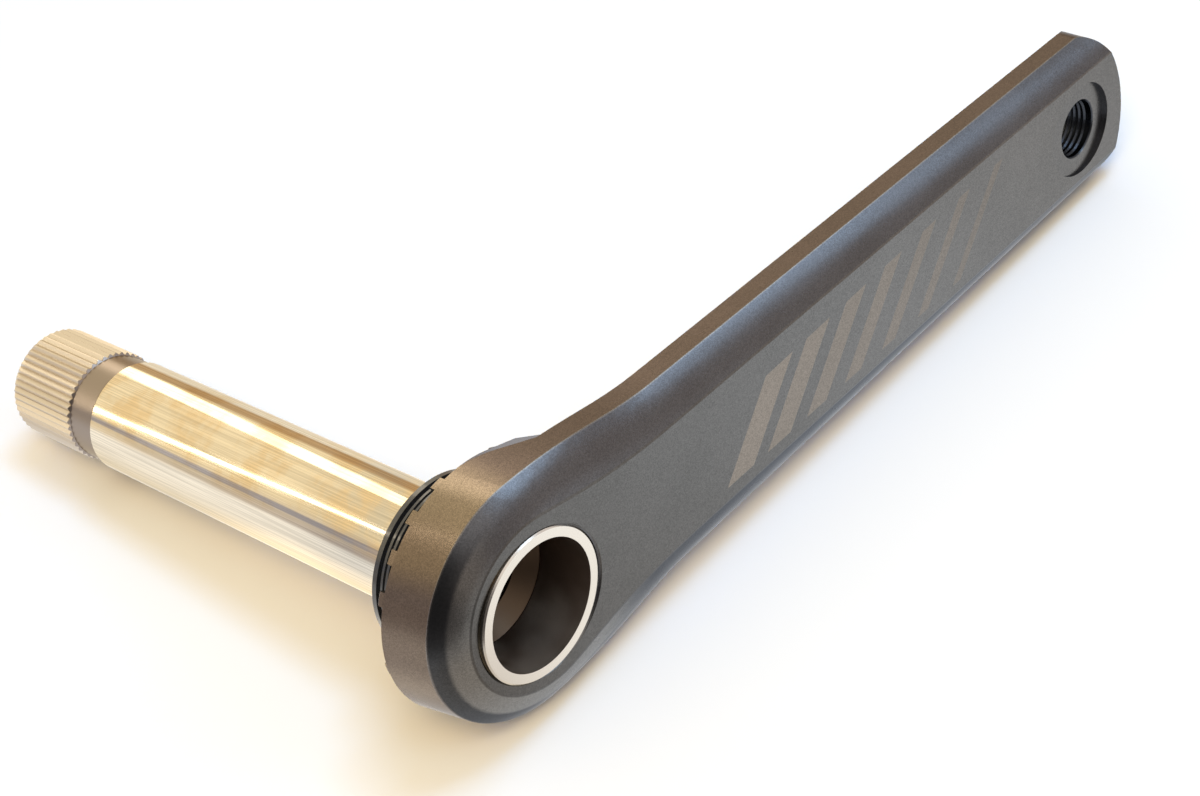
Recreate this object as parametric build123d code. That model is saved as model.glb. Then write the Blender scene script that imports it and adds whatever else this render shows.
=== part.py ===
from build123d import *
import os
from math import atan, atan2, cos, pi, radians, sin

# A bicycle crank arm with its hollow axle. X runs along the arm towards the pedal, Y runs inboard along
# the axle and Z is up. The origin is the centre of the axle's open mouth, in the plane of its ring face.

# Overall sizes
crank_length = 175.0  # axle axis to pedal axis
flare = 8.75  # how much further outboard the outer face lies at the pedal axis
axle_length = 143.5  # ring face to splined end
boss_back = 15.0  # inboard face of the thick end, from the origin
arm_thickness = 13.5  # outer face to back face along the arm

# Axle
journal_radius = 12.0
axle_wall = 2.1
neck_step = 0.5  # the neck in the arm is this much larger in radius than the journal
neck_taper = 0.5
mouth_radius = 13.25
mouth_clearance = 1.05  # the mouth's floor lies this far in front of the head's seat
ring_wall = 2.25
ring_chamfer = 0.3
ring_proud = 0.3  # the ring face stands this far outboard of the arm's face, on the axle axis
head_seat = 1.1  # thickness of the boss behind the axle's head
relief_length = 7.8
relief_cut = 0.6  # depth of the relief in front of the splines
relief_taper = 0.8
spline_length = 19.3
spline_lead = 0.4
spline_count = 48
spline_depth = 0.55
spline_groove_share = 0.86  # of the spline pitch, at the splines' outside
spline_chamfer = 0.9
bolt_thread_radius = 6.96  # minor radius of a 15 mm fine thread
bolt_thread_length = 20.0
bolt_mouth_step = 1.24  # the mouth is this much larger in radius than the thread
bolt_mouth_depth = 2.5
bore_cone_length = 6.0

# Spigot on the boss, and the lockring that sits on it
fit_clearance = 0.02
spigot_wall = 2.08
spigot_length = 9.0
lockring_wall = 2.63
lockring_length = 11.15
lockring_chamfer = 0.2
lockring_flange = 1.25  # length of the full round at the lockring's inboard end
lockring_flange_step = 0.5  # the flange is this much larger in radius than the body
lockring_groove_count = 3
lockring_groove_width = 0.55
lockring_groove_depth = 0.8
lockring_groove_pitch = 1.1

# Castellated ring on the back of the boss
castle_count = 20
castle_gap_every = 5  # every fifth tooth is left out
castle_clearance = 3.15  # between the lockring and the teeth
castle_width = 4.7
castle_height = 2.2
castle_slot_width = 5.1
castle_first_angle = 11.8  # centre of the first place for a tooth, from -X towards +Z
castle_edge_break = 0.3

# Turned boss behind the axle, and the back of the arm
boss_shoulder = 0.9  # the boss is this much larger in radius than the ring of teeth
boss_corner_step = 1.1  # turned edge of the boss, where its flanks run on towards the arm
boss_flank_angle = 20.0  # each flank leaves the round this far past its top or bottom
boss_draft = 23.5  # flanks and turned edge flare out by this angle towards the arm
rear_bevel_width = 5.0
rear_bevel_depth = 4.65
tip_margin = 16.3  # pedal axis to the tip of the rounded pedal end
tip_radius = 28.0
tip_corner_radius = 9.0

# Outer face of the arm
bevel_width = 7.55  # at the round end, seen from the face
face_end_centre = 1.05
face_half_axle = 13.7
face_half_pedal = 12.54
face_shoulder = 39.0  # the wide end has run into the straight taper by here
face_blend = (0.15, 0.58)  # handles of that blend, as shares of its length
hole_edge_chamfer = 0.4  # on the face, round the axle's ring

# Foot of the bevel, where it meets the side wall
foot_end_inset = 0.07  # the foot's round end is this much smaller in radius than the boss
foot_end_centre = 1.4
foot_half_axle = 22.6
foot_half_pedal = 18.9
foot_shoulder = 40.0
foot_blend = (0.46, 0.3)
foot_depth_axle = 4.0
foot_depth_pedal = 4.5
bevel_crown = 0.45  # how far the bevel bulges beyond a flat one

# Pedal hole
pedal_thread_radius = 6.46  # minor radius of the standard 9/16 inch pedal thread
pedal_thread_chamfer = 0.3
pedal_seat_width = 4.29
pedal_seat_depth = 0.75  # below the leaning outer face on the pedal axis, so the tip side is deeper

# How far the cutting and joining shapes reach
OVERRUN = 1.25  # outlines run past the pedal end by this share, and the tip is cut afterwards
CUT_MARGIN = 5.0  # cutting shapes reach this far past the part
TIP_SIDE_GAP = 0.1  # the shape that rounds the tip lies this far outside the arm's sides
REAR_LEAD_IN = 2.0  # the rear bevel's cut starts this far in front of the side wall's edge
OVERLAP = 1.0  # added shapes start this far inside the body they grow from
REACH = 1.5  # slots and flanks reach out to this many radii

# Worked out from the sizes above
ring_radius = mouth_radius + ring_wall
head_length = boss_back - head_seat
mouth_depth = head_length - mouth_clearance
neck_radius = journal_radius + neck_step
axle_bore_radius = journal_radius - axle_wall
relief_radius = journal_radius - relief_cut
spline_start = axle_length - spline_length
relief_start = spline_start - relief_length
bolt_mouth_radius = bolt_thread_radius + bolt_mouth_step
spigot_radius = neck_radius + fit_clearance + spigot_wall
lockring_body_radius = spigot_radius + fit_clearance + lockring_wall
lockring_radius = lockring_body_radius + lockring_flange_step
castle_inner_radius = lockring_body_radius + castle_clearance
castle_outer_radius = castle_inner_radius + castle_width
boss_radius = castle_outer_radius + boss_shoulder
boss_corner_radius = boss_radius + boss_corner_step
back_edge_depth = arm_thickness - rear_bevel_depth
foot_end_radius = boss_radius - foot_end_inset
face_end_radius = foot_end_radius - bevel_width
pedal_seat_radius = pedal_thread_radius + pedal_seat_width
CLEAR_WIDTH = 6 * boss_radius
tilt = atan(flare / crank_length)
face_length = crank_length / cos(tilt)
foot_tilt = tilt - atan((foot_depth_pedal - foot_depth_axle) / face_length)
bevel_angle = atan2(foot_depth_axle, foot_end_radius - face_end_radius)
inboard = Vector(sin(tilt), cos(tilt), 0)
face_origin = Vector(0, ring_proud, 0)
pedal_face_y = ring_proud - flare


def leaning_plane(depth, angle):
    """Plane at a depth behind the outer face on the axle axis, leaning by an angle, X along the arm."""
    origin = face_origin + inboard * depth
    return Plane(origin=origin, x_dir=(cos(angle), -sin(angle), 0), z_dir=(sin(angle), cos(angle), 0))


def arm_outline(radius, centre, half_axle, half_pedal, shoulder, blend):
    """Round end, a blend on each side that lands on the straight taper, and a square far end."""
    lead, trail = blend
    slope = (half_pedal - half_axle) / face_length
    far = face_length * OVERRUN
    span = shoulder - centre
    half_shoulder = half_axle + slope * shoulder
    half_far = half_axle + slope * far
    sides = []
    for side in (1, -1):
        start = (centre, side * radius)
        first = (centre + lead * span, side * radius)
        second = (shoulder - trail * span, side * (half_shoulder - slope * trail * span))
        end = (shoulder, side * half_shoulder)
        sides.append(Bezier(start, first, second, end))
    round_end = ThreePointArc((centre, radius), (centre - radius, 0), (centre, -radius))
    straight = Polyline((shoulder, half_shoulder), (far, half_far), (far, -half_far), (shoulder, -half_shoulder))
    return Wire([round_end, sides[1], *straight.edges(), sides[0]])


def face_outline():
    return arm_outline(
        face_end_radius, face_end_centre, face_half_axle, face_half_pedal, face_shoulder, face_blend
    )


def foot_outline(grow=0.0):
    return arm_outline(
        foot_end_radius + grow,
        foot_end_centre,
        foot_half_axle + grow,
        foot_half_pedal + grow,
        foot_shoulder,
        foot_blend,
    )


def crown_outline():
    """Halfway up the bevel, pushed out by the share of the crown that widens it."""
    out = bevel_crown * sin(bevel_angle)
    blend = tuple((face + foot) / 2 for face, foot in zip(face_blend, foot_blend))
    return arm_outline(
        (face_end_radius + foot_end_radius) / 2 + out,
        (face_end_centre + foot_end_centre) / 2,
        (face_half_axle + foot_half_axle) / 2 + out,
        (face_half_pedal + foot_half_pedal) / 2 + out,
        (face_shoulder + foot_shoulder) / 2,
        blend,
    )


def wall_back_outline():
    """The side wall at the boss's back face: round end concentric with the axle, slightly drafted."""
    return arm_outline(boss_radius, 0, foot_half_axle, foot_half_pedal, foot_shoulder, foot_blend)


def arm_blank():
    """Bevel and side wall with the full outline, before the back is cut down along the arm."""
    face = leaning_plane(0, tilt) * face_outline()
    crown_depth = foot_depth_axle / 2 - bevel_crown * cos(bevel_angle)
    crown = leaning_plane(crown_depth, (tilt + foot_tilt) / 2) * crown_outline()
    foot = leaning_plane(foot_depth_axle, foot_tilt) * foot_outline()
    back_plane = Plane(origin=(0, boss_back, 0), x_dir=(1, 0, 0), z_dir=(0, 1, 0))
    back = back_plane * wall_back_outline()
    bevel = Solid.make_loft([face, crown, foot])
    wall = Solid.make_loft([foot, back], True)
    return bevel + wall


def boss_flare():
    """Boss seen from behind: a round with two straight flanks, flaring out as it nears the arm's back."""
    angle = radians(boss_flank_angle)
    reach = boss_corner_radius * REACH
    flanks = []
    for side in (1, -1):
        touch = Vector(boss_radius * sin(angle), side * boss_radius * cos(angle))
        flanks.append(touch)
        flanks.append(touch + Vector(cos(angle), -side * sin(angle)) * reach)
    wedge = make_face(Polyline(flanks[0], flanks[1], flanks[3], flanks[2], close=True))
    outline = (Circle(boss_radius) + wedge) & Circle(boss_corner_radius)
    back_plane = Plane(origin=(0, boss_back, 0), x_dir=(1, 0, 0), z_dir=(0, -1, 0))
    return extrude(back_plane * outline, back_edge_depth, taper=-boss_draft)


def kept_region():
    """Boss cylinder, plus the arm's own thickness with a bevel along both rear edges."""
    boss = boss_flare()
    slope = rear_bevel_width / (arm_thickness - back_edge_depth)
    outer = leaning_plane(back_edge_depth - REAR_LEAD_IN, tilt) * foot_outline(REAR_LEAD_IN * slope)
    inner = leaning_plane(arm_thickness, tilt) * foot_outline(-rear_bevel_width)
    rear = Solid.make_loft([outer, inner], True)
    front_back = back_edge_depth - REAR_LEAD_IN
    front_depth = front_back + CUT_MARGIN + flare
    front = leaning_plane(front_back - front_depth, tilt) * Solid.make_box(
        face_length * 2, CLEAR_WIDTH, front_depth, Plane((-face_length / 2, -CLEAR_WIDTH / 2, 0))
    )
    return boss + rear + front


def tip_region():
    """Everything up to the pedal end: a shallow round between two small rounded corners, seen from the face."""
    centre = face_length + tip_margin - tip_radius
    start = face_length - 2 * tip_corner_radius
    far = face_length + 2 * tip_margin
    slope = (foot_half_pedal - foot_half_axle) / face_length
    half_start = foot_half_axle + slope * start + TIP_SIDE_GAP
    half_far = foot_half_axle + slope * far + TIP_SIDE_GAP
    sides = make_face(
        Polyline((start, half_start), (far, half_far), (far, -half_far), (start, -half_start), close=True)
    )
    tip = Pos(centre, 0, 0) * Circle(tip_radius) & sides
    tip = fillet(tip.vertices().sort_by(Axis.X)[-2:], tip_corner_radius)
    block = Pos(start - face_length, 0, 0) * Rectangle(2 * face_length, CLEAR_WIDTH)
    depth = arm_thickness + 2 * CUT_MARGIN + boss_back
    return extrude(leaning_plane(-CUT_MARGIN, tilt) * (block + tip), depth)


def turned(points):
    """Solid of revolution about the axle axis, from (radius, y) corners."""
    profile = make_face(Polyline(*[(radius, y, 0) for radius, y in points], close=True))
    return revolve(profile, Axis.Y, 360)


def castellations():
    """Ring of square teeth with parallel-sided slots, on the back face of the boss, with regular gaps."""
    top = boss_back + castle_height
    ring = turned(
        [
            (castle_inner_radius, boss_back - OVERLAP),
            (castle_outer_radius, boss_back - OVERLAP),
            (castle_outer_radius, top - castle_edge_break),
            (castle_outer_radius - castle_edge_break, top),
            (castle_inner_radius, top),
        ]
    )
    pitch = 360 / castle_count
    radial = castle_outer_radius * REACH
    slot = Pos(radial / 2, top, 0) * Box(radial, 2 * castle_height, castle_slot_width)
    for index in range(castle_count):
        angle = 180 + castle_first_angle + index * pitch
        ring -= Rot(0, angle + pitch / 2, 0) * slot
        if index % castle_gap_every == 0:
            ring -= Rot(0, angle, 0) * slot
    return ring


def axle_hole():
    """Counterbore for the axle's head, then the bore of its neck."""
    front = -CUT_MARGIN
    far = boss_back + spigot_length + CUT_MARGIN
    head = ring_radius + fit_clearance
    neck = neck_radius + fit_clearance
    return turned([(0, front), (head, front), (head, head_length), (neck, head_length), (neck, far), (0, far)])


def axle_hole_edge():
    """Cone that breaks the edge where the axle's hole meets the leaning outer face."""
    radius = ring_radius + fit_clearance + hole_edge_chamfer
    reach = 2 * hole_edge_chamfer
    return Solid.make_cone(radius + reach, radius - reach, 2 * reach, leaning_plane(-reach, tilt))


def pedal_hole():
    """Flat seat for the pedal's shoulder, then the pilot of the pedal thread, both parallel to the axle."""
    seat = pedal_face_y + pedal_seat_depth
    front = pedal_face_y - CUT_MARGIN
    far = pedal_face_y + arm_thickness + CUT_MARGIN
    back = pedal_face_y + arm_thickness / cos(tilt) - pedal_thread_chamfer
    hole = turned(
        [
            (0, front),
            (pedal_seat_radius, front),
            (pedal_seat_radius, seat),
            (pedal_thread_radius + pedal_thread_chamfer, seat),
            (pedal_thread_radius, seat + pedal_thread_chamfer),
            (pedal_thread_radius, back),
            (pedal_thread_radius + far - back, far),
            (0, far),
        ]
    )
    return Pos(crank_length, 0, 0) * hole


def crank_arm():
    body = arm_blank() & kept_region() & tip_region()
    spigot = turned(
        [
            (0, boss_back - OVERLAP),
            (spigot_radius, boss_back - OVERLAP),
            (spigot_radius, boss_back + spigot_length),
            (0, boss_back + spigot_length),
        ]
    )
    body = body + castellations() + spigot
    return body - axle_hole() - axle_hole_edge() - pedal_hole()


def lockring():
    """Threaded-on ring: a plain flange inboard, and narrow grooves turned into the body in front of it."""
    end = boss_back + lockring_length
    flange = end - lockring_flange
    inner = spigot_radius + fit_clearance
    lip = boss_back + spigot_length
    lip_radius = neck_radius + fit_clearance
    bottom = lockring_body_radius - lockring_groove_depth
    profile = [(inner, boss_back), (lockring_body_radius, boss_back)]
    for index in reversed(range(lockring_groove_count)):
        groove_end = flange - index * lockring_groove_pitch
        groove_start = groove_end - lockring_groove_width
        profile += [(lockring_body_radius, groove_start), (bottom, groove_start), (bottom, groove_end)]
        if index > 0:
            profile.append((lockring_body_radius, groove_end))
    profile += [
        (lockring_radius, flange),
        (lockring_radius, end - lockring_chamfer),
        (lockring_radius - lockring_chamfer, end),
        (lip_radius, end),
        (lip_radius, lip),
        (inner, lip),
    ]
    return turned(profile)


def axle_spline_cutter():
    """One V groove between two splines, on top of the axle."""
    half = pi * journal_radius / spline_count * spline_groove_share
    bottom = journal_radius - spline_depth
    top = journal_radius + spline_depth
    groove = Polyline((-2 * half, top), (0, bottom), (2 * half, top), close=True)
    start = spline_start - 2 * spline_lead
    length = axle_length - start + CUT_MARGIN
    plane = Plane(origin=(0, start, 0), x_dir=(1, 0, 0), z_dir=(0, 1, 0))
    return plane * Rot(0, 0, 180) * extrude(make_face(groove), length)


def axle():
    neck_end = boss_back + lockring_length
    cone_start = axle_length - bolt_thread_length - bore_cone_length
    thread_start = axle_length - bolt_thread_length
    shaft = turned(
        [
            (mouth_radius, 0),
            (ring_radius - ring_chamfer, 0),
            (ring_radius, ring_chamfer),
            (ring_radius, head_length),
            (neck_radius, head_length),
            (neck_radius, neck_end - neck_taper),
            (journal_radius, neck_end),
            (journal_radius, relief_start),
            (relief_radius, relief_start + relief_taper),
            (relief_radius, spline_start - spline_lead),
            (journal_radius, spline_start),
            (journal_radius, axle_length - spline_chamfer),
            (journal_radius - spline_chamfer, axle_length),
            (bolt_mouth_radius, axle_length),
            (bolt_mouth_radius, axle_length - bolt_mouth_depth),
            (bolt_thread_radius, axle_length - bolt_mouth_depth),
            (bolt_thread_radius, thread_start),
            (axle_bore_radius, cone_start),
            (axle_bore_radius, mouth_depth + mouth_radius - axle_bore_radius),
            (mouth_radius, mouth_depth),
        ]
    )
    cutter = axle_spline_cutter()
    cutters = [Rot(0, index * 360 / spline_count, 0) * cutter for index in range(spline_count)]
    return shaft - cutters


os.makedirs("parts", exist_ok=True)
PIECES = {"crank_arm": crank_arm, "axle": axle, "lockring": lockring}
for name, build in PIECES.items():
    export_step(build(), f"parts/{name}.step")
    print("wrote", name)
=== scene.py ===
# %% [markdown]
# # A crank arm and its hollow axle
#
# The imported model already holds every piece at its real size, in metres. This script gives the pieces their
# finishes, lays the part down as it comes to rest on a pale table, and lights it softly. It starts by
# loading that model.

# %% Load the imported model
import bpy
import numpy as np
from mathutils import Matrix, Vector


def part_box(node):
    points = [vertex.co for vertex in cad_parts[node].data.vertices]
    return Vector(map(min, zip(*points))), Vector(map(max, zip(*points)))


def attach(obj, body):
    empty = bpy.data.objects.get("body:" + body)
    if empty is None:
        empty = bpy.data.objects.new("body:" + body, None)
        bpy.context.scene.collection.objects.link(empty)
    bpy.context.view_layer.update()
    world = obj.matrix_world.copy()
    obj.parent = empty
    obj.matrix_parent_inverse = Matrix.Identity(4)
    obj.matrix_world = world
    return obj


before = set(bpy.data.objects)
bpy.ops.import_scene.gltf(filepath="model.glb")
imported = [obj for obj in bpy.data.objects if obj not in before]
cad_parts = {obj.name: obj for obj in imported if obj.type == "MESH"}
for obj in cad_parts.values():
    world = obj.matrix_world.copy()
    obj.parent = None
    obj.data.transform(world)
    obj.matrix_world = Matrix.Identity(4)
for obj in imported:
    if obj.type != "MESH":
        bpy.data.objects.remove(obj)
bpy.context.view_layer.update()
scene = bpy.context.scene
scene.view_settings.view_transform = "Standard"
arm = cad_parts["crank_arm"]
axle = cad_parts["axle"]
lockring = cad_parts["lockring"]
print("pieces", sorted(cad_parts))

# %% [markdown]
# ## Where things are
#
# The finishes change from zone to zone: polished journal, rough splines, turned ring. Zones could be
# painted by hand or cut into the mesh. Here each one is found from the model's own boxes plus a few lengths
# that are read off the drawing, so a zone ends where the metal does, and no mesh has to be touched.

# %% Lengths that the finishes need
axle_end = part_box("axle")[1].y
boss_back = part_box("lockring")[0].y
pedal_axis = 0.175
face_lean = 0.05  # the outer face leans outboard by this much for each metre along the arm
face_offset = 0.0003  # the face lies this far behind the ring's face, on the axle's axis
bevel_foot = (0.004, 0.00286)  # depth of the bevel's foot behind the face at the axle, and rise per metre
mouth_radius, mouth_depth = 0.01325, 0.01285
journal_radius = 0.012
bolt_thread_radius, bolt_mouth = 0.00696, 0.0025
pedal_hole_radius, pedal_hole_front, pedal_hole_back = 0.00646, -0.0074, 0.00477
pedal_seat_radius = 0.01075
relief = (0.1164, 0.1242)  # where the dull groove before the splines starts and ends
print("the axle ends at", round(axle_end, 4), "and the boss at", round(boss_back, 4))

# %% [markdown]
# ## The camera
#
# A photograph fixes where its camera stood. That place could be given as a bare location and rotation,
# which say little to a reader. The aim, the distance and three angles describe it in the way that a
# photographer would: how far round, how high, and how far the camera is rolled about its own axis.

# %% The camera, from its aim and three angles
camera_aim = Vector((0.02513, 0.0, 0.03029))
camera_distance = 0.39374
camera_azimuth, camera_elevation, camera_roll = np.radians((-42.103, 37.671, -13.136))
camera_lens = 66.087
film_width = 36
nearest_seen = 0.01


def turned_frame(azimuth, elevation, roll):
    """Right, up and backward directions: level ones from azimuth and elevation, turned by the roll."""
    back = Vector(
        (
            np.sin(azimuth) * np.cos(elevation),
            -np.cos(azimuth) * np.cos(elevation),
            np.sin(elevation),
        )
    )
    level_right = Vector((np.cos(azimuth), np.sin(azimuth), 0))
    level_up = back.cross(level_right)
    right = level_right * np.cos(roll) + level_up * np.sin(roll)
    return right, back.cross(right), back


right, up, back = turned_frame(camera_azimuth, camera_elevation, camera_roll)
camera = bpy.data.objects.new("camera", bpy.data.cameras.new("camera"))
camera.data.lens = camera_lens
camera.data.sensor_width = film_width
camera.data.clip_start = nearest_seen
camera.location = camera_aim + back * camera_distance
camera.rotation_mode = "QUATERNION"
camera.rotation_quaternion = Matrix((right, up, back)).transposed().to_quaternion()
scene.collection.objects.link(camera)
scene.camera = camera
print("camera at", [round(v, 4) for v in camera.location])

# %% [markdown]
# ## The table it lies on
#
# The part can't stand, so it lies on three points: the bottom of the boss, the pedal end and the axle's
# end. Its pieces stay where the model has them, and the table is laid under them instead. The table is the
# highest plane that stays below every point, measured under the middle of the part. That height is a
# concave function of the plane's two slopes, so a search with shrinking steps finds its top.

# %% Find the plane the part rests on
points = []
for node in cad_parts.values():
    flat = np.empty(len(node.data.vertices) * 3, np.float32)
    node.data.vertices.foreach_get("co", flat)
    points.append(flat.reshape(-1, 3))
points = np.concatenate(points).astype(float)
box_middles = [np.mean([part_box(name)[0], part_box(name)[1]], axis=0) for name in ("crank_arm", "axle")]
middle = np.mean(box_middles, axis=0)


def plane_height(slopes):
    """Lowest of z - slope . (x, y) over the points: the offset of the plane that just touches them."""
    return np.min(points[:, 2] - points[:, :2] @ slopes)


moves = np.array([(0, 0), (1, 0), (-1, 0), (0, 1), (0, -1), (1, 1), (-1, -1), (1, -1), (-1, 1)])
slopes, stride, finest_stride = np.zeros(2), 0.1, 1e-6
while stride > finest_stride:
    tries = slopes + stride * moves
    heights = [plane_height(s) + s @ middle[:2] for s in tries]
    best = int(np.argmax(heights))
    slopes = tries[best]
    if best == 0:
        stride /= 2
floor_up = Vector((-slopes[0], -slopes[1], 1)).normalized()
floor_point = Vector((0, 0, plane_height(slopes)))
print("the table leans by", np.degrees(np.arccos(floor_up.z)).round(2), "degrees")

# %% [markdown]
# ## Small helpers for node trees
#
# Every finish is a few nodes. Made one by one, each node takes several lines, so small helpers do it in
# one. put() adds one node and fills its sockets: a socket is linked, anything else is its value. Masks go
# from 0 to 1, so both() is a product and either() a maximum. group() makes a node group with named inputs
# and outputs.

# %% Add a node


def fill(tree, socket, value):
    """Links a socket to another socket, or sets its own value; None leaves it as it is."""
    if isinstance(value, bpy.types.NodeSocket):
        tree.links.new(value, socket)
    elif value is not None:
        socket.default_value = value


def put(tree, kind, *values, settings=None, **named):
    """Adds a node, fills its sockets in order or by name, and returns its first output that is in use."""
    node = tree.nodes.new("ShaderNode" + kind)
    for key, value in (settings or {}).items():
        setattr(node, key, value)
    filled = list(enumerate(values)) + [(key.replace("_", " "), value) for key, value in named.items()]
    for key, value in filled:
        fill(tree, node.inputs[key], value)
    return next(socket for socket in node.outputs if socket.enabled)


print("put() adds any node by its kind")

# %% Arithmetic on numbers, vectors and masks


def math(tree, operation, *values, clamp=False):
    """One Math node, with its operation by name."""
    return put(tree, "Math", *values, settings={"operation": operation, "use_clamp": clamp})


def vector_math(tree, operation, *values, **named):
    """One Vector Math node; a length, a distance and a dot product come out as a number."""
    node = put(tree, "VectorMath", *values, settings={"operation": operation}, **named).node
    return node.outputs["Value" if operation in ("LENGTH", "DISTANCE", "DOT_PRODUCT") else "Vector"]


def parts_of(tree, vector):
    """The X, Y and Z of a vector."""
    return put(tree, "SeparateXYZ", vector).node.outputs


def both(tree, first, second):
    """Mask of the places that lie in both masks: their product."""
    return math(tree, "MULTIPLY", first, second)


def either(tree, first, second):
    """Mask of the places that lie in one mask or the other: the greater of the two."""
    return math(tree, "MAXIMUM", first, second)


def radius_about(tree, place, axis_x):
    """Distance from the line along Y at x = axis_x: the length of the offset with its Y left out."""
    offset = vector_math(tree, "SUBTRACT", place, (axis_x, 0, 0))
    return vector_math(tree, "LENGTH", vector_math(tree, "MULTIPLY", offset, (1, 0, 1)))


print("arithmetic nodes are ready")

# %% Soft steps and mixed colours


def ease(tree, value, low, high, to_low=0.0, to_high=1.0):
    """Smooth step: to_low up to low, to_high from high, and an S curve between."""
    node = tree.nodes.new("ShaderNodeMapRange")
    node.interpolation_type = "SMOOTHSTEP"
    for socket, number in zip(node.inputs[:5], (value, low, high, to_low, to_high)):
        fill(tree, socket, number)
    return node.outputs[0]


def blend_colour(tree, factor, first, second):
    """Mix node for colours: first where the factor is 0, second where it is 1."""
    node = tree.nodes.new("ShaderNodeMix")
    node.data_type = "RGBA"
    fill(tree, node.inputs[0], factor)
    for socket, colour in ((node.inputs[6], first), (node.inputs[7], second)):
        fill(tree, socket, colour if isinstance(colour, bpy.types.NodeSocket) else (*colour, 1))
    return node.outputs[2]


print("soft steps and mixed colours are ready")

# %% Groups and materials


def group(name, inputs, outputs):
    """A new node group with (name, kind, default) inputs and (name, kind) outputs."""
    tree = bpy.data.node_groups.new(name, "ShaderNodeTree")
    for label, kind, default in inputs:
        socket = tree.interface.new_socket(label, in_out="INPUT", socket_type="NodeSocket" + kind)
        if default is not None:
            socket.default_value = default
    for label, kind in outputs:
        tree.interface.new_socket(label, in_out="OUTPUT", socket_type="NodeSocket" + kind)
    return tree, tree.nodes.new("NodeGroupInput").outputs, tree.nodes.new("NodeGroupOutput").inputs


def use(tree, made, **named):
    """Places a group in a tree, fills its inputs by name and returns its outputs."""
    node = tree.nodes.new("ShaderNodeGroup")
    node.node_tree = made
    for key, value in named.items():
        fill(tree, node.inputs[key.replace("_", " ")], value)
    return node.outputs


def new_material(name):
    """A material with its node tree, its Principled shader and the Object coordinates."""
    material = bpy.data.materials.new(name)
    material.use_nodes = True
    tree = material.node_tree
    shader = tree.nodes["Principled BSDF"]
    return material, tree, shader, tree.nodes.new("ShaderNodeTexCoord").outputs["Object"]


print("groups and materials are ready")

# %% [markdown]
# ## Satin grain
#
# Blasted and anodised aluminium isn't a flat grey. Thousands of small facets catch the light one by one, so
# up close it glitters. Plain noise would give soft clouds instead of facets, so a cell pattern gives each
# facet its own height and shade. Soft noise adds faint clouds to the colour and breaks up the roughness. Two
# materials use the grain, so it is a group. It puts out a colour, a roughness and a height for the bump.

# %% Node group: satin grain
satin_grain, given, gives = group(
    "satin_grain",
    [
        ("Vector", "Vector", None),
        ("Colour", "Color", (0.15, 0.15, 0.15, 1)),
        ("Grain size", "Float", 0.0003),
        ("Glitter", "Float", 0.3),
        ("Roughness", "Float", 0.3),
    ],
    [("Colour", "Color"), ("Roughness", "Float"), ("Height", "Float")],
)
mottle_scale, mottle_detail = 55.0, 4.0
cloud_limits, cloud_darkest, cloud_lightest = (0.35, 0.65), 0.965, 1.035
roughness_swing = 0.12
cell_count = math(satin_grain, "DIVIDE", 1.0, given["Grain size"])
cells = put(satin_grain, "TexVoronoi", Vector=given["Vector"], Scale=cell_count).node.outputs["Color"]
shade = put(satin_grain, "SeparateColor", cells)
mottle = put(satin_grain, "TexNoise", Vector=given["Vector"], Scale=mottle_scale, Detail=mottle_detail)
spread = math(satin_grain, "MULTIPLY", math(satin_grain, "SUBTRACT", shade, 0.5), given["Glitter"])
lift = math(satin_grain, "ADD", 1.0, spread)
cloud = ease(satin_grain, mottle, *cloud_limits, cloud_darkest, cloud_lightest)
tone = vector_math(satin_grain, "SCALE", given["Colour"], Scale=math(satin_grain, "MULTIPLY", lift, cloud))
uneven = math(satin_grain, "SUBTRACT", mottle, 0.5)
rough = math(satin_grain, "MULTIPLY_ADD", uneven, roughness_swing, given["Roughness"])
for label, socket in (("Colour", tone), ("Roughness", rough), ("Height", shade)):
    satin_grain.links.new(socket, gives[label])
print("group", satin_grain.name)

# %% [markdown]
# ## Zones on the arm
#
# The arm is one piece, but its face, its bevel and its side wall were finished by different cutters and
# catch different light. The mesh has no marks for them, and it isn't changed. The depth behind the leaning
# face tells them apart, so a group works it out once, with the distance along the arm, from the Object
# coordinates.

# %% Node group: depth behind the face
lean_angle = np.arctan(face_lean)
foot_blur = 0.0001  # half width of the change from bevel to wall
line_half_width = (0.00022, 0.00005)  # this far from the bevel's foot the bright line is gone, or full
face_skin = (0.0002, 0.0001)  # the flat face is no deeper than this
face_zones, given, gives = group(
    "face_zones",
    [("Vector", "Vector", None)],
    [("Along", "Float"), ("Depth", "Float"), ("Wall", "Float"), ("Edge line", "Float"), ("Face", "Float")],
)
from_face = vector_math(face_zones, "SUBTRACT", given["Vector"], (0, face_offset, 0))
inwards = (np.sin(lean_angle), np.cos(lean_angle), 0)
lengthways = (np.cos(lean_angle), -np.sin(lean_angle), 0)
depth = vector_math(face_zones, "DOT_PRODUCT", from_face, inwards)
along = vector_math(face_zones, "DOT_PRODUCT", from_face, lengthways)
foot = math(face_zones, "MULTIPLY_ADD", along, bevel_foot[1], bevel_foot[0])
past_foot = math(face_zones, "SUBTRACT", depth, foot)
face_parts = (
    ("Along", along),
    ("Depth", depth),
    ("Wall", ease(face_zones, past_foot, -foot_blur, foot_blur)),
    ("Edge line", ease(face_zones, math(face_zones, "ABSOLUTE", past_foot), *line_half_width)),
    ("Face", ease(face_zones, depth, *face_skin)),
)
for label, socket in face_parts:
    face_zones.links.new(socket, gives[label])
print("group", face_zones.name)
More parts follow.
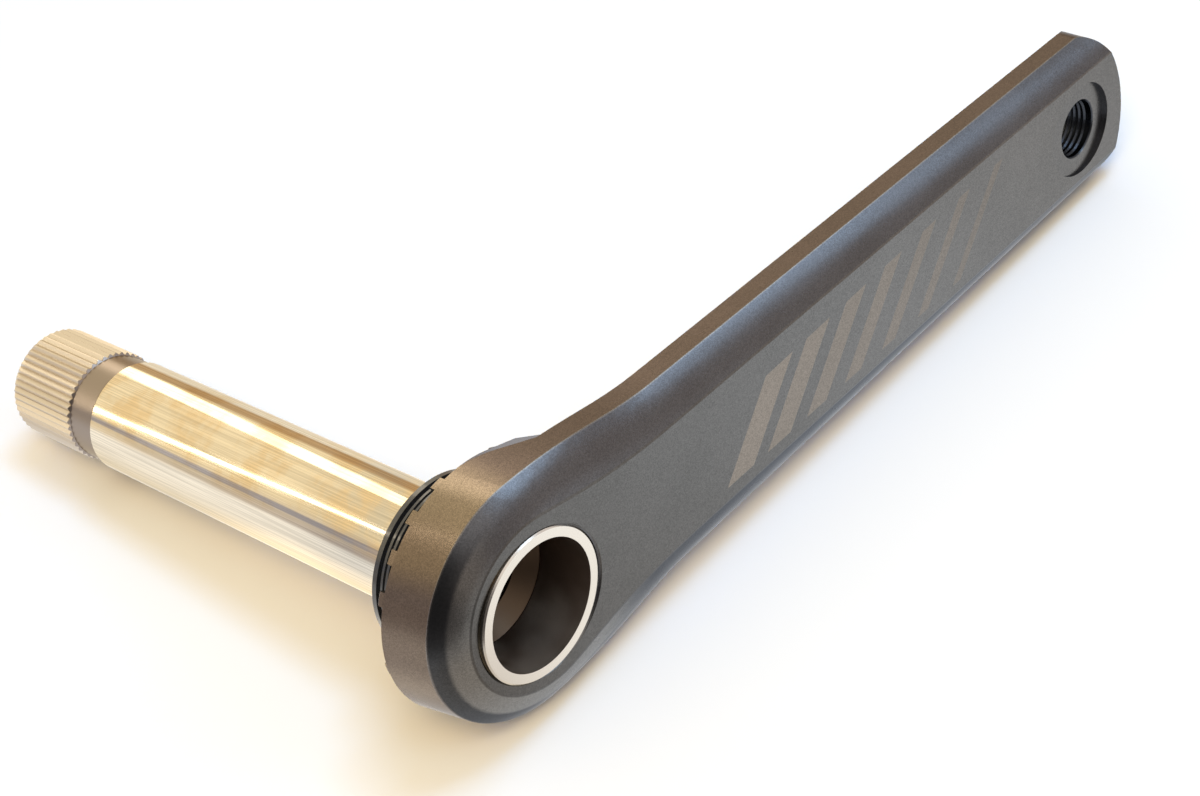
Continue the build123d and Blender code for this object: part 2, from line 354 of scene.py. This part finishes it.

# %% [markdown]
# ## The anodised arm
#
# The arm was forged, machined and blasted, then anodised dark grey. It could be painted plastic grey, but
# it is bare metal under a thin coloured skin, so it is metallic with a dark colour and a satin roughness.
# The side wall is painted browner, partly the skin's own tint and partly a painted reflection of warm light.
# A lighter crest at the top and the bottom of the round boss is a painted highlight, and the machined edge
# between wall and bevel is painted as a thin bright line, a painted highlight too. Each tone is laid over the
# last one through a mask.

# %% Colours of the arm
# The face is painted lighter towards the pedal end, a painted reflection.
near_face_grey = (0.126, 0.124, 0.121)
far_face_grey = (0.178, 0.176, 0.173)
bevel_grey = (0.130, 0.132, 0.142)
# The bevel's lower side is painted: lighter on its inner strip by the boss, a painted reflection, and dark
# elsewhere, painted shade.
lower_bevel_painted_reflection = (0.255, 0.255, 0.250)
lower_bevel_painted_shade = (0.086, 0.090, 0.096)
# The side wall's two browns are partly its own tint and partly a painted reflection of warm light.
boss_brown_and_reflection = (0.188, 0.148, 0.118)
# Painted highlight: the lighter crest at the top and the bottom of the round boss.
boss_painted_highlight = (0.272, 0.222, 0.174)
side_brown_and_reflection = (0.155, 0.124, 0.118)
# Painted highlight: a thin bright line along the edge between bevel and wall.
edge_painted_highlight = (0.215, 0.200, 0.190)
back_grey = (0.130, 0.128, 0.128)
# Painted shade: the walls of the pedal hole are made near black.
thread_painted_shade = (0.045, 0.050, 0.060)
bar_taupe = (0.255, 0.225, 0.195)
grazing_grey = (0.58, 0.60, 0.64, 1)  # the skin's reflection where it is seen edge on
print("the face goes from", near_face_grey, "to", far_face_grey)

# %% Material: grey anodising, face and bevel
anodising, tree, shader, place = new_material("grey_anodising")
zones = use(tree, face_zones, Vector=place)
xyz = parts_of(tree, place)
# Each pair of limits, here and below, says where a zone starts to show and where it is full.
face_reach = (0.0, 0.15)
lower_side, lower_end = (-0.008, -0.014), (-0.004, -0.016)
outer_strip, outer_reach = (0.0016, 0.0022), (0.010, 0.030)
seat_blur = 0.0001
# Painted reflection: the face grows lighter along the arm.
face_tone = blend_colour(tree, ease(tree, zones["Along"], *face_reach), near_face_grey, far_face_grey)
low = either(tree, ease(tree, xyz["Z"], *lower_side), ease(tree, zones["Along"], *lower_end))
outer = either(tree, ease(tree, zones["Depth"], *outer_strip), ease(tree, zones["Along"], *outer_reach))
# Painted reflection and painted shade on the bevel's lower side.
lower_bevel_painted_light = blend_colour(tree, outer, lower_bevel_painted_reflection, lower_bevel_painted_shade)
bevel_tone = blend_colour(tree, low, bevel_grey, lower_bevel_painted_light)
from_pedal = radius_about(tree, place, pedal_axis)
in_seat = ease(tree, from_pedal, pedal_seat_radius, pedal_seat_radius - seat_blur)
skin = blend_colour(tree, either(tree, zones["Face"], in_seat), bevel_tone, face_tone)
print("the bevel's lower side starts at", lower_side[0], "m")

# %% The side wall and the round boss
# The wall's browns are partly painted reflection, and its lighter crest is a painted highlight.
boss_to_side = (-0.014, 0.010)
boss_reach = (0.006, -0.004)
upper_crest, crest_above, lower_crest = (-0.0155, -0.0075), (0.0, 0.010), (0.003, -0.005)
wall_tone = blend_colour(tree, ease(tree, zones["Along"], *boss_to_side), boss_brown_and_reflection, side_brown_and_reflection)
# Painted highlight: the crest is lighter where the boss catches the light.
crest = both(tree, ease(tree, zones["Along"], *upper_crest), ease(tree, xyz["Z"], *crest_above))
crest = either(tree, crest, ease(tree, xyz["Z"], *lower_crest))
on_boss = ease(tree, zones["Along"], *boss_reach)
wall_tone = blend_colour(tree, both(tree, crest, on_boss), wall_tone, boss_painted_highlight)
skin = blend_colour(tree, zones["Wall"], skin, wall_tone)
print("the boss turns into the side wall between", boss_to_side)

# %% The back, the bright edge and the threaded hole
back_depth, back_clearance = (0.01325, 0.0134), (0.0270, 0.0280)
rear_start, rear_radius = (boss_back - 0.00015, boss_back), (0.0251, 0.0248)
thread_wall = (pedal_hole_radius + 0.0004, pedal_hole_radius + 0.0001)
from_axle = radius_about(tree, place, 0)
arm_back = both(tree, ease(tree, zones["Depth"], *back_depth), ease(tree, from_axle, *back_clearance))
boss_rear = both(tree, ease(tree, xyz["Y"], *rear_start), ease(tree, from_axle, *rear_radius))
skin = blend_colour(tree, either(tree, arm_back, boss_rear), skin, back_grey)
# Painted highlight: the edge between bevel and wall is made lighter along a thin line.
skin = blend_colour(tree, zones["Edge line"], skin, edge_painted_highlight)
# Painted shade inside the pedal hole: its walls and thread are darkened.
skin = blend_colour(tree, ease(tree, from_pedal, *thread_wall), skin, thread_painted_shade)
print("the boss's rear face starts at", round(rear_start[0], 5))

# %% [markdown]
# ## The bars on the face
#
# The decoration is a plain row of slanted bars in a lighter, rougher taupe, each narrower than the last and
# painted fainter than the last, a painted reflection that washes out the far bars. They could be thin solids
# laid on the face, but printed ink has no height. So they are drawn by arithmetic: a slanted coordinate, cut
# into equal steps, is in a bar or between two.

# %% The slanted bars on the face
bar_count, bar_first, bar_pitch, bar_slant = 7, 0.060, 0.0125, 0.9
bar_share, bar_thinning, bar_reflection_fading = 0.66, 0.07, 0.07
bar_low, bar_high, bar_lean = -0.0105, 0.0045, 0.035
bar_blur, bar_side_blur = 0.0001, 0.02
slanted = math(tree, "SUBTRACT", zones["Along"], math(tree, "MULTIPLY", xyz["Z"], bar_slant))
step = math(tree, "DIVIDE", math(tree, "SUBTRACT", slanted, bar_first), bar_pitch)
index = math(tree, "FLOOR", step)
share = math(tree, "MULTIPLY_ADD", index, -bar_thinning, bar_share)
bars = ease(tree, math(tree, "SUBTRACT", share, math(tree, "FRACT", step)), 0.0, bar_side_blur)
height = math(tree, "SUBTRACT", xyz["Z"], math(tree, "MULTIPLY", zones["Along"], bar_lean))
# The last two limits keep bars 0 to bar_count - 1 and nothing before or after them.
bar_limits = (
    (xyz["Z"], bar_low - bar_blur, bar_low + bar_blur),
    (height, bar_high + bar_blur, bar_high - bar_blur),
    (index, -0.6, -0.4),
    (index, bar_count - 0.4, bar_count - 0.6),
)
for limits in bar_limits:
    bars = both(tree, bars, ease(tree, *limits))
bars = both(tree, bars, zones["Face"])
# Painted reflection: each bar is fainter than the last.
reflection_faded = math(tree, "MULTIPLY_ADD", index, -bar_reflection_fading, 1.0, clamp=True)
skin = blend_colour(tree, both(tree, bars, reflection_faded), skin, bar_taupe)
print("the bars run from", bar_first, "to", round(bar_first + bar_count * bar_pitch, 4))

# %% Finish of the arm
arm_grain = {"Grain_size": 0.00018, "Glitter": 0.4, "Roughness": 0.27}
bar_roughening, grain_strength, grain_height = 0.12, 0.12, 0.00002
grain = use(tree, satin_grain, Vector=place, Colour=skin, **arm_grain)
tree.links.new(grain["Colour"], shader.inputs["Base Color"])
rough = math(tree, "MULTIPLY_ADD", bars, bar_roughening, grain["Roughness"])
tree.links.new(rough, shader.inputs["Roughness"])
shader.inputs["Metallic"].default_value = 1.0
shader.inputs["Specular Tint"].default_value = grazing_grey
bump = put(tree, "Bump", Strength=grain_strength, Distance=grain_height, Height=grain["Height"])
tree.links.new(bump, shader.inputs["Normal"])
arm.material_slots[0].material = anodising
print("arm finished in", anodising.name)

# %% [markdown]
# ## Round zones on the axle
#
# The axle was turned: its finish changes along its length and from outside to inside, never across. A group
# gives the radius and the distance along the axle. It also gives two kinds of fine lines. Lines along the
# axle come from noise that is stretched that way, and turning rings come from noise that knows the radius
# only.

# %% Node group: turned part
lines_round, lines_along = 30.0, 28.0  # noise cells per radian round the axle, and per metre along it
rings_per_metre = 4200.0
turned_part, given, gives = group(
    "turned_part",
    [("Vector", "Vector", None)],
    [("Radius", "Float"), ("Along", "Float"), ("Lengthwise", "Float"), ("Rings", "Float")],
)
xyz = parts_of(turned_part, given["Vector"])
radius = radius_about(turned_part, given["Vector"], 0)
angle = math(turned_part, "ARCTAN2", xyz["Z"], xyz["X"])
round_it = math(turned_part, "MULTIPLY", angle, lines_round)
along_it = math(turned_part, "MULTIPLY", xyz["Y"], lines_along)
unrolled = put(turned_part, "CombineXYZ", round_it, along_it, 0.0)
lines = put(turned_part, "TexNoise", Vector=unrolled, Scale=1.0, Detail=3.0, Roughness=0.6)
outwards = put(turned_part, "CombineXYZ", math(turned_part, "MULTIPLY", radius, rings_per_metre), 0.0, 0.0)
rings = put(turned_part, "TexNoise", Vector=outwards, Scale=1.0, Detail=2.0)
for label, socket in (("Radius", radius), ("Along", xyz["Y"]), ("Lengthwise", lines), ("Rings", rings)):
    turned_part.links.new(socket, gives[label])
print("group", turned_part.name)

# %% [markdown]
# ## The axle
#
# Pale gold, polished on the journal, with faint lines along it from drawing and handling, and browner rub
# marks on top. One flank is left without rub marks and so stays paler, a painted reflection of the pale
# table. The splines are matte, the relief before them is dull, and the ring's face shows fine turning rings.
# The bore is dark, with lighter cloudy patches low in it, a painted highlight, and its inner step is painted
# darker, painted shade. Five materials on cut-up faces could do it, but one material with soft masks has no
# seams between its zones.

# %% Colours of the axle
journal_gold = (0.81, 0.74, 0.62)
worn_gold = (0.76, 0.62, 0.43)
near_ring_steel = (0.64, 0.60, 0.53)
spline_gold = (0.68, 0.625, 0.56)
relief_dull = (0.32, 0.275, 0.25)
ring_silver = (0.74, 0.70, 0.64)
bore_brown = (0.33, 0.27, 0.23)
# Painted highlight: the lighter cloudy patches low in the bore.
bore_painted_highlight = (0.85, 0.83, 0.80)
# Painted shade: the step deep in the bore is made darker.
step_painted_shade = (0.120, 0.085, 0.058)
grazing_gold = (0.80, 0.72, 0.58, 1)  # the metal's reflection where it is seen edge on
print("the journal is", journal_gold, "and its rub marks are", worn_gold)

# %% Material: pale gold steel, the journal
gold, tree, shader, place = new_material("pale_gold_steel")
turning = use(tree, turned_part, Vector=place)
xyz = parts_of(tree, place)
steel_reach = (0.034, 0.060)  # the journal is steel up to the first and gold from the second
rub_scale, rub_limits = 95.0, (0.40, 0.64)
# Painted reflection: the flank towards -x keeps no rub marks, so it stays paler, as if it showed the table.
flank_reflection_side = (-0.0114, -0.0094)  # the flank beyond this x has no rub marks
streak_limits, streak_darkest, streak_lightest = (0.35, 0.65), 0.82, 1.07
journal = blend_colour(tree, ease(tree, turning["Along"], *steel_reach), near_ring_steel, journal_gold)
rub_noise = put(tree, "TexNoise", Vector=place, Scale=rub_scale, Detail=4.0, Roughness=0.6)
# The mask holds the rub marks, and leaves them off the flank that is a painted reflection.
wear_and_flank_reflection = both(tree, ease(tree, rub_noise, *rub_limits), ease(tree, xyz["X"], *flank_reflection_side))
journal = blend_colour(tree, wear_and_flank_reflection, journal, worn_gold)
streaks = ease(tree, turning["Lengthwise"], *streak_limits, streak_darkest, streak_lightest)
journal = vector_math(tree, "SCALE", journal, Scale=streaks)
print("the journal is steel up to", steel_reach[0], "and gold from", steel_reach[1])

# %% Masks of the axle's other zones
edge_mark = 0.0001
relief_fade, head_depth = 0.0008, (0.0006, 0.0003)
bore_wall = (journal_radius - 0.0009, journal_radius - 0.0012)
head_back, mouth_wall = (0.0166, 0.0164), (mouth_radius + edge_mark, mouth_radius)
mouth_rim, end_rim = (0.00002, 0.0002), (axle_end - 0.00002, axle_end - 0.0002)
in_splines = ease(tree, turning["Along"], relief[1] - edge_mark, relief[1] + edge_mark)
past_journal = ease(tree, turning["Along"], relief[0], relief[0] + relief_fade)
in_relief = both(tree, past_journal, math(tree, "SUBTRACT", 1.0, in_splines))
in_head = ease(tree, turning["Along"], *head_depth)
in_bore = ease(tree, turning["Radius"], *bore_wall)
in_mouth = both(tree, ease(tree, turning["Along"], *head_back), ease(tree, turning["Radius"], *mouth_wall))
in_bore = either(tree, in_bore, both(tree, in_mouth, ease(tree, turning["Along"], *mouth_rim)))
in_bore = both(tree, in_bore, ease(tree, turning["Along"], *end_rim))
print("splines from", relief[1], "to", round(axle_end, 4))

# %% Colour of the axle's zones
bore_highlight_scale, bore_highlight_limits = 110.0, (0.25, 0.75)
# Painted highlight: lighter cloudy patches, kept to the bottom of the bore.
bore_highlight_floor = (-0.0055, -0.0115)  # the smoke lies low in the bore, from the first z down to the second
step_start = (mouth_depth - 0.0003, mouth_depth - 0.0001)
bore_highlight_noise = put(tree, "TexNoise", Vector=place, Scale=bore_highlight_scale, Detail=1.0)
bore_highlight_mask = ease(tree, bore_highlight_noise, *bore_highlight_limits)
bore_highlight_mask = both(tree, bore_highlight_mask, ease(tree, xyz["Z"], *bore_highlight_floor))
bore_tone = blend_colour(tree, bore_highlight_mask, bore_brown, bore_painted_highlight)
# Painted shade on the step deep in the bore.
on_step = both(tree, in_bore, ease(tree, turning["Along"], *step_start))
colour = journal
axle_layers = (
    (in_splines, spline_gold),
    (in_relief, relief_dull),
    (in_head, ring_silver),
    (in_bore, bore_tone),
    (on_step, step_painted_shade),
)
for zone, paint in axle_layers:
    colour = blend_colour(tree, zone, colour, paint)
tree.links.new(colour, shader.inputs["Base Color"])
shader.inputs["Metallic"].default_value = 1.0
shader.inputs["Specular Tint"].default_value = grazing_gold
print("the axle's colour has", len(axle_layers), "layers over its journal")

# %% Roughness of the axle's zones
ring_strength, ring_height = 0.25, 0.00001
polish_limits, finest_polish, coarsest_polish = (0.3, 0.7), 0.07, 0.11
zone_roughness = ((in_splines, 0.42), (in_relief, 0.30), (in_head, 0.22), (in_bore, 0.45))
rough = ease(tree, turning["Lengthwise"], *polish_limits, finest_polish, coarsest_polish)
for zone, value in zone_roughness:
    kept = math(tree, "MULTIPLY", rough, math(tree, "SUBTRACT", 1.0, zone))
    rough = math(tree, "MULTIPLY_ADD", zone, value, kept)
tree.links.new(rough, shader.inputs["Roughness"])
rings_here = both(tree, turning["Rings"], in_head)
bump = put(tree, "Bump", Strength=ring_strength, Distance=ring_height, Height=rings_here)
tree.links.new(bump, shader.inputs["Normal"])
axle.material_slots[0].material = gold
print("axle finished in", gold.name)

# %% [markdown]
# ## The lockring
#
# Glossy black anodising over turned aluminium. A plain glossy black would look like plastic. A clear coat
# on a nearly black base gives the two reflections that such a part shows, and the satin grain keeps the
# lower one soft and uneven.

# %% Material: gloss black
gloss_black, tree, shader, place = new_material("gloss_black")
ring_black = (0.016, 0.017, 0.020, 1)
ring_grain = {"Grain_size": 0.0004, "Glitter": 0.5, "Roughness": 0.28}
coat_weight, coat_roughness = 0.8, 0.08
grain = use(tree, satin_grain, Vector=place, Colour=ring_black, **ring_grain)
tree.links.new(grain["Colour"], shader.inputs["Base Color"])
tree.links.new(grain["Roughness"], shader.inputs["Roughness"])
shader.inputs["Coat Weight"].default_value = coat_weight
shader.inputs["Coat Roughness"].default_value = coat_roughness
lockring.material_slots[0].material = gloss_black
print("lockring finished in", gloss_black.name)

# %% [markdown]
# ## Threads
#
# The model leaves its two threads as plain bores. A bump pattern would draw them only face on, so each
# thread is one real ridge that winds along its bore. Its surface is a function of two parameters: how far
# the ridge has wound, and where one is across its profile. Both ends run out by sinking into the wall, so
# the ridge stays one closed skin.

# %% A thread ridge, as a grid of points


def thread_ridge(name, centre, start, end, wall, height, pitch, body="root"):
    """Closed ridge inside a bore along Y.

    With u the angle wound and v the corner of the profile, the point is
    (centre + r cos u, start + pitch (u / 2 pi + across(v)), r sin u), kept between start and end. The
    radius r is the wall's radius less height times a hat function of v, which fades to nothing at both ends
    of the ridge, and everything that isn't on top of the hat is sunk a little into the wall.
    """
    steps_round = 48
    turns = (end - start) / pitch
    u = np.linspace(0, 2 * np.pi * turns, int(turns * steps_round) + 1)
    hat = np.array([0.0, 1.0, 1.0, 0.0])
    across = np.array([-0.42, -0.06, 0.06, 0.42])
    fade = np.clip(np.minimum(u, u[-1] - u) / np.pi, 0, 1)
    sunk = 0.00015
    r = wall + sunk - (height + sunk) * hat[None, :] * fade[:, None] - sunk * 0.5 * (1 - hat[None, :])
    y = start + (u / (2 * np.pi) * pitch)[:, None] + across[None, :] * pitch
    x = centre + r * np.cos(u)[:, None]
    z = r * np.sin(u)[:, None]
    grid = np.stack([x, np.clip(y, start, end), z], axis=-1)
    rows, columns = grid.shape[:2]
    index = np.arange(rows * columns).reshape(rows, columns)
    next_column = np.roll(index, -1, axis=1)
    quads = np.stack([index[:-1], index[1:], next_column[1:], next_column[:-1]], axis=-1).reshape(-1, 4)
    mesh = bpy.data.meshes.new(name)
    caps = [tuple(index[0]), tuple(index[-1][::-1])]
    mesh.from_pydata(grid.reshape(-1, 3).tolist(), [], [tuple(q) for q in quads.tolist()] + caps)
    mesh.validate()
    piece = bpy.data.objects.new(name, mesh)
    scene.collection.objects.link(piece)
    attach(piece, body)
    print(name, "turns", round(turns, 1), "faces", len(mesh.polygons))
    return piece


# %% The two threads
pedal_span = (pedal_hole_front + 0.0006, pedal_hole_back - 0.0004)
pedal_ridge, pedal_pitch = 0.00038, 0.00127
bolt_span = (axle_end - 0.0200, axle_end - bolt_mouth - 0.0003)
bolt_ridge, bolt_pitch = 0.00030, 0.001
pedal_thread = thread_ridge(
    "pedal_thread", pedal_axis, *pedal_span, pedal_hole_radius, pedal_ridge, pedal_pitch
)
pedal_thread.data.materials.append(anodising)
bolt_thread = thread_ridge("bolt_thread", 0.0, *bolt_span, bolt_thread_radius, bolt_ridge, bolt_pitch)
bolt_thread.data.materials.append(gold)
print("ridges stand", pedal_ridge, "and", bolt_ridge, "m into their bores")

# %% [markdown]
# ## The room, as polished metal sees it
#
# Metal has no colour of its own to speak of: it shows the room. A photograph of a room would do, but a part
# for a library brings no pictures along. So the room is painted as a colour for each direction. A few soft
# round cards are laid over a plain ground, one after the other, each with a centre, an inner and an outer
# half angle. Bands behind the part run level with the axle, each with its angle round the axle, its half
# width and its soft edge. All angles are in degrees. The table repeats the same colours for reflected rays.

# %% What stands in the room
room_ground = {"up_back": (1.12, 0.96, 0.66), "up_front": (0.80, 0.74, 0.70), "down": (1.00, 0.95, 0.90)}
room_cards = (
    ("sheet on the right", -10, -60, 15, 50, (1.40, 1.45, 1.45)),
    ("sheet on the left", -130, -55, 10, 45, (0.58, 0.51, 0.44)),
    ("sheet behind", 95, -60, 10, 40, (1.55, 1.35, 1.10)),
    ("horizon in front", -58, -8, 12, 34, (0.72, 0.61, 0.53)),
    ("dark doorway", -125, -8, 24, 48, (0.10, 0.09, 0.085)),
    ("beside the doorway", -92, 2, 8, 24, (0.45, 0.38, 0.33)),
    ("above the doorway", -88, 28, 6, 22, (1.05, 0.97, 0.90)),
    ("window", -58, 28, 4, 14, (2.70, 3.45, 4.30)),
    ("left horizon", 160, 4, 12, 34, (0.58, 0.52, 0.50)),
    ("brown horizon", 38, 0, 8, 22, (0.55, 0.38, 0.22)),
)
room_bands = (
    ("brown bench", -2, 22, 7, (0.66, 0.47, 0.28)),
    ("grey shelf", 165, 4, 2, (0.50, 0.48, 0.53)),
)
print("the room has", len(room_cards), "cards and", len(room_bands), "bands")

# %% Node group: the room by direction
surroundings, given, gives = group("surroundings", [("Direction", "Vector", None)], [("Colour", "Color")])
front_to_back, down_to_up, band_start = (-0.25, 0.35), (-0.15, 0.1), (0.25, 0.5)


def unit(azimuth, elevation):
    """Unit vector for an azimuth from +X towards +Y and an elevation, both in degrees."""
    a, e = np.radians((azimuth, elevation))
    return Vector((np.cos(e) * np.cos(a), np.cos(e) * np.sin(a), np.sin(e)))


split = parts_of(surroundings, given["Direction"])
backwards = ease(surroundings, split["Y"], *front_to_back)
colour = blend_colour(surroundings, backwards, room_ground["up_front"], room_ground["up_back"])
upwards = ease(surroundings, split["Z"], *down_to_up)
colour = blend_colour(surroundings, upwards, room_ground["down"], colour)
for label, azimuth, elevation, inner, outer, paint in room_cards:
    nearness = vector_math(surroundings, "DOT_PRODUCT", given["Direction"], unit(azimuth, elevation))
    edge = ease(surroundings, nearness, np.cos(np.radians(outer)), np.cos(np.radians(inner)))
    colour = blend_colour(surroundings, edge, colour, paint)
    colour.node.label = label
around = math(surroundings, "ARCTAN2", split["Z"], split["X"])
behind = ease(surroundings, split["Y"], *band_start)
for label, band_angle, half, soft, paint in room_bands:
    off = math(surroundings, "ABSOLUTE", math(surroundings, "SUBTRACT", around, np.radians(band_angle)))
    edge = ease(surroundings, off, np.radians(half + soft), np.radians(half))
    colour = blend_colour(surroundings, both(surroundings, edge, behind), colour, paint)
    colour.node.label = label
surroundings.links.new(colour, gives["Colour"])
print("group", surroundings.name)

# %% [markdown]
# ## The room around the part
#
# The room's colours become the world that every ray but the camera's sees. The camera sees plain white
# behind the table's far edge, so that the picture ends in a white background without any light being added.

# %% The world
world = bpy.data.worlds.new("room")
scene.world = world
world.use_nodes = True
tree = world.node_tree
direction = tree.nodes.new("ShaderNodeTexCoord").outputs["Generated"]
room = use(tree, surroundings, Direction=direction)["Colour"]
path = tree.nodes.new("ShaderNodeLightPath").outputs
room = blend_colour(tree, path["Is Camera Ray"], room, (1, 1, 1))
tree.links.new(room, tree.nodes["Background"].inputs["Color"])
print("world", world.name)

# %% [markdown]
# ## The white table
#
# The table is a plain pale sheet for the camera and for light that falls on it. In the polished metal it
# shows a few soft patches of painted light and painted shade: pools of light and shadows on the sheet near
# it.
# Further out the patches give way to the colours of the room, so that there is no seam at the horizon. For
# the camera, the far part of the sheet fades to plain white, as a sheet does that is lit all the way back.

# %% The table
table_half = 3.0
side = floor_up.orthogonal().normalized()
other = floor_up.cross(side)
corners = [
    floor_point + table_half * (side * a + other * b) for a, b in ((-1, -1), (1, -1), (1, 1), (-1, 1))
]
table_mesh = bpy.data.meshes.new("table")
table_mesh.from_pydata([tuple(corner) for corner in corners], [], [(0, 1, 2, 3)])
table = bpy.data.objects.new("table", table_mesh)
scene.collection.objects.link(table)
print("table", round(2 * table_half, 1), "m wide")

# %% Material: white sheet
sheet, tree, shader, place = new_material("white_sheet")
tree.nodes.remove(shader)
path = tree.nodes.new("ShaderNodeLightPath").outputs
# Round patches of painted light and painted shade, as polished metal sees the sheet: name, centre in
# metres, inner and outer radius, colour.
sheet_ground = (1.15, 1.13, 1.10)
sheet_light_and_shade = (
    ("in front of the arm", (0.10, -0.06, -0.02), 0.03, 0.10, (1.30, 1.32, 1.33)),
    ("under the axle", (0.0, 0.05, -0.02), 0.015, 0.06, (1.80, 1.66, 1.46)),
    ("below the boss", (-0.03, -0.03, -0.02), 0.015, 0.05, (0.66, 0.58, 0.50)),
    ("shaded corner", (-0.10, -0.13, -0.02), 0.06, 0.13, (0.16, 0.14, 0.13)),
)
room_reach, white_reach = (0.16, 0.36), (0.35, 0.90)  # metres from the part's middle
seen = put(tree, "RGB")
seen.default_value = (*sheet_ground, 1)
for label, centre, inner, outer, paint in sheet_light_and_shade:
    gap = vector_math(tree, "DISTANCE", place, centre)
    seen = blend_colour(tree, ease(tree, gap, outer, inner), seen, paint)
    seen.node.label = label
from_part = vector_math(tree, "SUBTRACT", place, Vector(middle))
distance = vector_math(tree, "LENGTH", from_part)
room = use(tree, surroundings, Direction=vector_math(tree, "NORMALIZE", from_part))["Colour"]
seen = blend_colour(tree, ease(tree, distance, *room_reach), seen, room)
print("the sheet has", len(sheet_light_and_shade), "patches")

# %% What each ray gets from the sheet
sheet_colour, plain_white = (0.6, 0.6, 0.6, 1), (1.0, 1.0, 1.0, 1)
lit = put(tree, "BsdfDiffuse", Color=sheet_colour)
white = put(tree, "Emission", Color=plain_white, Strength=1.0)
fades = both(tree, ease(tree, distance, *white_reach), path["Is Camera Ray"])
lit = put(tree, "MixShader", fades, lit, white)
reflected = put(tree, "Emission", Color=seen, Strength=1.0)
total = put(tree, "MixShader", path["Is Glossy Ray"], lit, reflected)
tree.links.new(total, tree.nodes["Material Output"].inputs["Surface"])
table_mesh.materials.append(sheet)
print("table finished in", sheet.name)

# %% [markdown]
# ## Lamps
#
# Two long lamps stand where the axle reflects its two white streaks, and light nothing but reflections. The
# other lamps light the sheet and stay out of reflections. One white lamp would leave one grey shadow. Here
# each lamp has its own colour and leaves its own shadow: where the cool lamps are hidden the sheet turns
# beige, and where all of them reach it the sheet is white.

# %% Lamps
lamp_distance = 1.2


def softbox(name, azimuth, elevation, width, height, radiance, in_reflections):
    """A rectangular lamp that faces the camera's aim, so bright that its surface has the given radiance."""
    away = unit(azimuth, elevation)
    data = bpy.data.lights.new(name, "AREA")
    data.shape, data.size, data.size_y = "RECTANGLE", width, height
    level = max(radiance)
    data.color = [c / level for c in radiance]
    data.energy = level * np.pi * width * height
    lamp = bpy.data.objects.new(name, data)
    lamp.location = camera_aim + away * lamp_distance
    lamp.rotation_mode = "QUATERNION"
    lamp.rotation_quaternion = away.to_track_quat("Z", "Y")
    lamp.visible_camera = False
    lamp.visible_glossy = in_reflections
    lamp.visible_diffuse = not in_reflections
    scene.collection.objects.link(lamp)


# Each lamp: name, azimuth, elevation, width, height, radiance, and whether it is only for reflections.
lamps = (
    ("streak_wide", 59, 37, 0.25, 0.9, (1.8, 1.6, 1.3), True),
    ("streak_thin", 125, 33, 0.05, 0.9, (5.0, 4.3, 3.4), True),
    ("warm_lamp", 216, 52, 0.5, 0.5, (14.4, 10.3, 5.0), False),
    ("cool_lamp", -24, 73, 0.45, 0.45, (5.5, 8.6, 13.8), False),
    ("small_cool_lamp", -36, 66, 0.2, 0.2, (2.5, 11.5, 23.0), False),
    ("overhead", 240, 66, 0.5, 0.5, (2.2, 3.0, 2.9), False),
    ("low_cool_lamp", 72, 11, 0.3, 0.3, (2.5, 9.0, 28.0), False),
)
for lamp in lamps:
    softbox(*lamp)
print("lamps", len(lamps))
